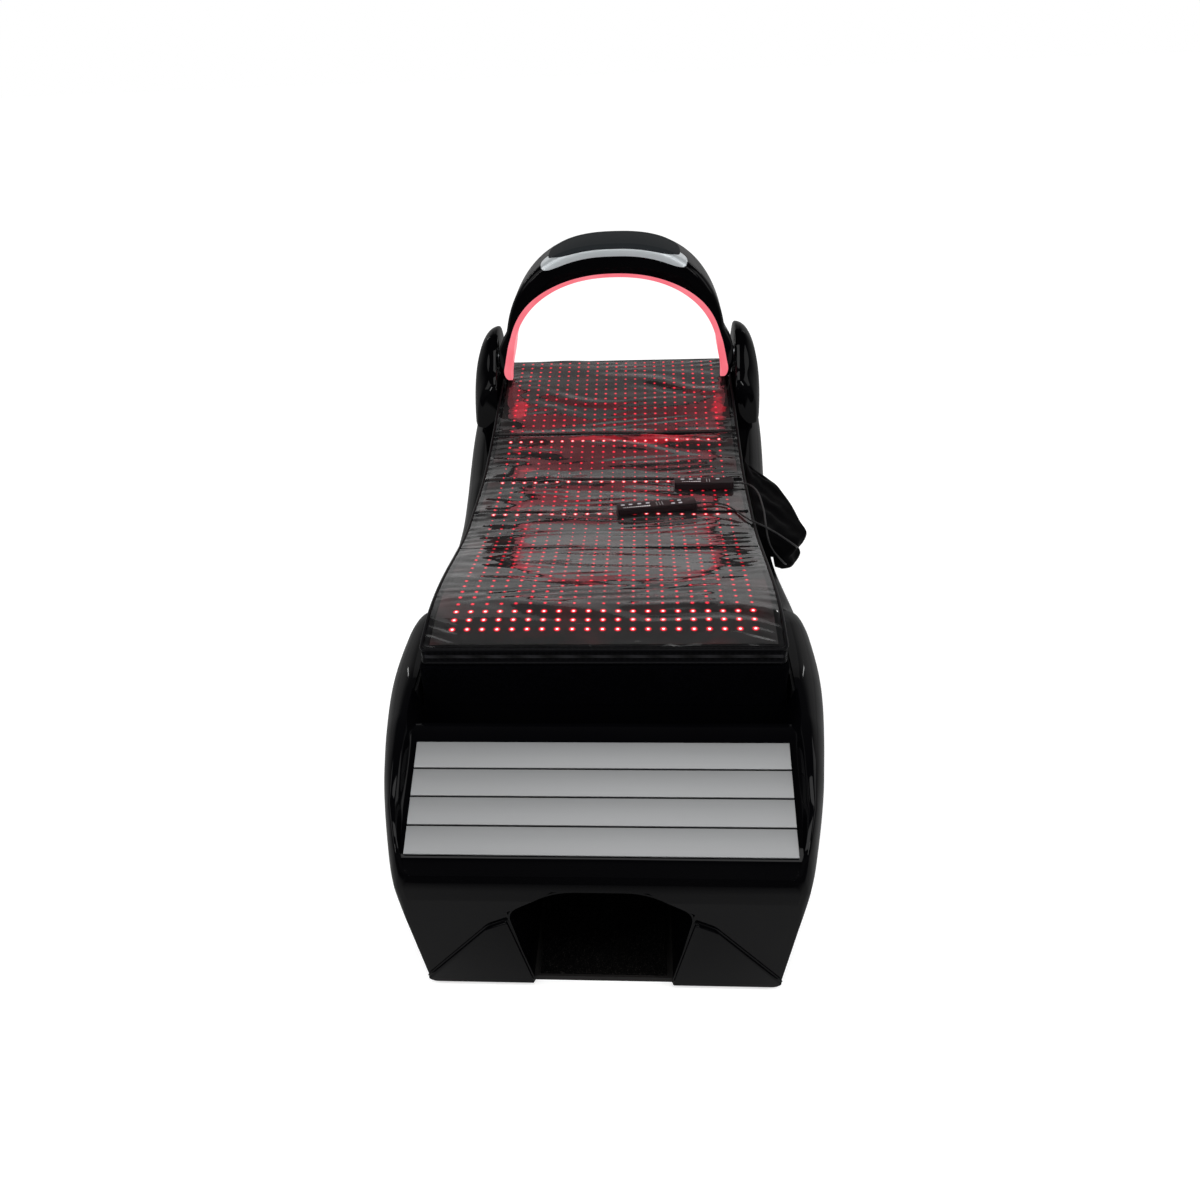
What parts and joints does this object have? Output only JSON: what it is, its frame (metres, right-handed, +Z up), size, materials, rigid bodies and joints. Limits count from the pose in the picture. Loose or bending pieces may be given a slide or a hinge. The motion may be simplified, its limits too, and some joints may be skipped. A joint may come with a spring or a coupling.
{
  "type": "red light therapy bed",
  "caption": "Contoured treatment bed with a gloss moulded body, foam mattress, light mat, foot tread and a light arch that tilts over the head end.",
  "frame": {"origin": "on the floor under the middle of the base plate", "axes": "+Z up, +Y along the bed towards the head end, +X to the right when looking from the foot end"},
  "size_m": [1.0438, 2.399, 1.1578],
  "materials": {
    "gloss_body": "high gloss black gelcoat",
    "black_plastic": "satin black",
    "base_ply": "black stained plywood",
    "frame_steel": "powder coated",
    "velvet": "short pile velvet",
    "mat_cloth": "coated cloth",
    "clear_film": "clear soft film, wrinkled",
    "led_board": "black board with lit red diodes",
    "tread_aluminium": "brushed across the bed",
    "carpet": "short loop carpet",
    "bronze": "turned",
    "shaft_steel": "ground",
    "pouch_cloth": "black velvet cloth",
    "cord_rubber": "matt black",
    "light_lining": "lit diffuser",
    "silver_trim": "satin silver",
    "crown_panel": "smooth dark grey",
    "handset_case": "satin dark brown grey",
    "grey_key": "soft touch",
    "red_key": "moulded"
  },
  "bodies": {
    "bed": {"base_plate": "base_ply", "steel_frame": "frame_steel", "body_shell": "gloss_body", "mattress_tub": "black_plastic", "foam_mattress": "velvet", "mat_base": "mat_cloth", "led_panel_foot": "led_board", "led_panel_middle": "led_board", "led_panel_head": "led_board", "mat_window": "clear_film", "tread_carrier": "black_plastic", "tread_strip_1": "tread_aluminium", "tread_strip_2": "tread_aluminium", "tread_strip_3": "tread_aluminium", "tread_strip_4": "tread_aluminium", "recess_liner": "gloss_body", "recess_carpet": "carpet", "skirt_left": "gloss_body", "skirt_right": "gloss_body", "wing_left": "gloss_body", "wing_right": "gloss_body", "hinge_bushes": "bronze", "power_supply": "frame_steel", "control_unit": "frame_steel", "inlet_plate": "black_plastic", "mains_inlet": "black_plastic", "rocker_frame": "black_plastic", "rear_vent": "black_plastic", "pouch": "pouch_cloth", "cord_a": "cord_rubber", "cord_b": "cord_rubber", "handset_a_base": "handset_case", "handset_a_cover": "handset_case", "handset_a_relief": "cord_rubber", "handset_b_base": "handset_case", "handset_b_cover": "handset_case", "handset_b_relief": "cord_rubber"},
    "light_arch": {"arch_shell": "gloss_body", "arch_led_board": "led_board", "arch_lining": "light_lining", "arch_trim": "silver_trim", "arch_top_panel": "crown_panel", "hinge_shafts": "shaft_steel", "hinge_nuts": "shaft_steel"},
    "power_rocker": {"rocker": "red_key"},
    "fuse_holder": {"fuse_drawer": "black_plastic"},
    "key_a1_body": {"key_a1": "grey_key"},
    "key_a2_body": {"key_a2": "grey_key"},
    "key_a3_body": {"key_a3": "grey_key"},
    "key_a4_body": {"key_a4": "grey_key"},
    "key_a5_body": {"key_a5": "red_key"},
    "key_a6_body": {"key_a6": "grey_key"},
    "key_a7_body": {"key_a7": "grey_key"},
    "key_a8_body": {"key_a8": "grey_key"},
    "key_b1_body": {"key_b1": "grey_key"},
    "key_b2_body": {"key_b2": "grey_key"},
    "key_b3_body": {"key_b3": "grey_key"},
    "key_b4_body": {"key_b4": "grey_key"}
  },
  "joints": [
    {"name": "arch_tilt", "type": "hinge", "parent": "bed", "child": "light_arch", "pos_m": [0, 0.901, 0.77503], "axis": [1, 0, 0], "range_deg": [-60, 35]},
    {"name": "rocker_tilt", "type": "hinge", "parent": "bed", "child": "power_rocker", "pos_m": [0.034, 1.195, 0.15], "axis": [1, 0, 0], "range_deg": [0, 16]},
    {"name": "fuse_pull", "type": "slide", "parent": "bed", "child": "fuse_holder", "axis": [0, 1, 0], "range_m": [0, 0.014]},
    {"name": "key_a1_press", "type": "slide", "parent": "bed", "child": "key_a1_body", "axis": [0, 0, 1], "range_m": [-0.0008, 0], "stiffness_N_per_m": 500, "springref_m": 0.0002},
    {"name": "key_a2_press", "type": "slide", "parent": "bed", "child": "key_a2_body", "axis": [0, 0, 1], "range_m": [-0.0008, 0], "stiffness_N_per_m": 500, "springref_m": 0.0002},
    {"name": "key_a3_press", "type": "slide", "parent": "bed", "child": "key_a3_body", "axis": [0, 0, 1], "range_m": [-0.0008, 0], "stiffness_N_per_m": 500, "springref_m": 0.0002},
    {"name": "key_a4_press", "type": "slide", "parent": "bed", "child": "key_a4_body", "axis": [0, 0, 1], "range_m": [-0.0008, 0], "stiffness_N_per_m": 500, "springref_m": 0.0002},
    {"name": "key_a5_press", "type": "slide", "parent": "bed", "child": "key_a5_body", "axis": [0, 0, 1], "range_m": [-0.0008, 0], "stiffness_N_per_m": 500, "springref_m": 0.0002},
    {"name": "key_a6_press", "type": "slide", "parent": "bed", "child": "key_a6_body", "axis": [0, 0, 1], "range_m": [-0.0008, 0], "stiffness_N_per_m": 500, "springref_m": 0.0002},
    {"name": "key_a7_press", "type": "slide", "parent": "bed", "child": "key_a7_body", "axis": [0, 0, 1], "range_m": [-0.0008, 0], "stiffness_N_per_m": 500, "springref_m": 0.0002},
    {"name": "key_a8_press", "type": "slide", "parent": "bed", "child": "key_a8_body", "axis": [0, 0, 1], "range_m": [-0.0008, 0], "stiffness_N_per_m": 500, "springref_m": 0.0002},
    {"name": "key_b1_press", "type": "slide", "parent": "bed", "child": "key_b1_body", "axis": [0, 0, 1], "range_m": [-0.0008, 0], "stiffness_N_per_m": 500, "springref_m": 0.0002},
    {"name": "key_b2_press", "type": "slide", "parent": "bed", "child": "key_b2_body", "axis": [0, 0, 1], "range_m": [-0.0008, 0], "stiffness_N_per_m": 500, "springref_m": 0.0002},
    {"name": "key_b3_press", "type": "slide", "parent": "bed", "child": "key_b3_body", "axis": [0, 0, 1], "range_m": [-0.0008, 0], "stiffness_N_per_m": 500, "springref_m": 0.0002},
    {"name": "key_b4_press", "type": "slide", "parent": "bed", "child": "key_b4_body", "axis": [0, 0, 1], "range_m": [-0.0008, 0], "stiffness_N_per_m": 500, "springref_m": 0.0002}
  ]
}
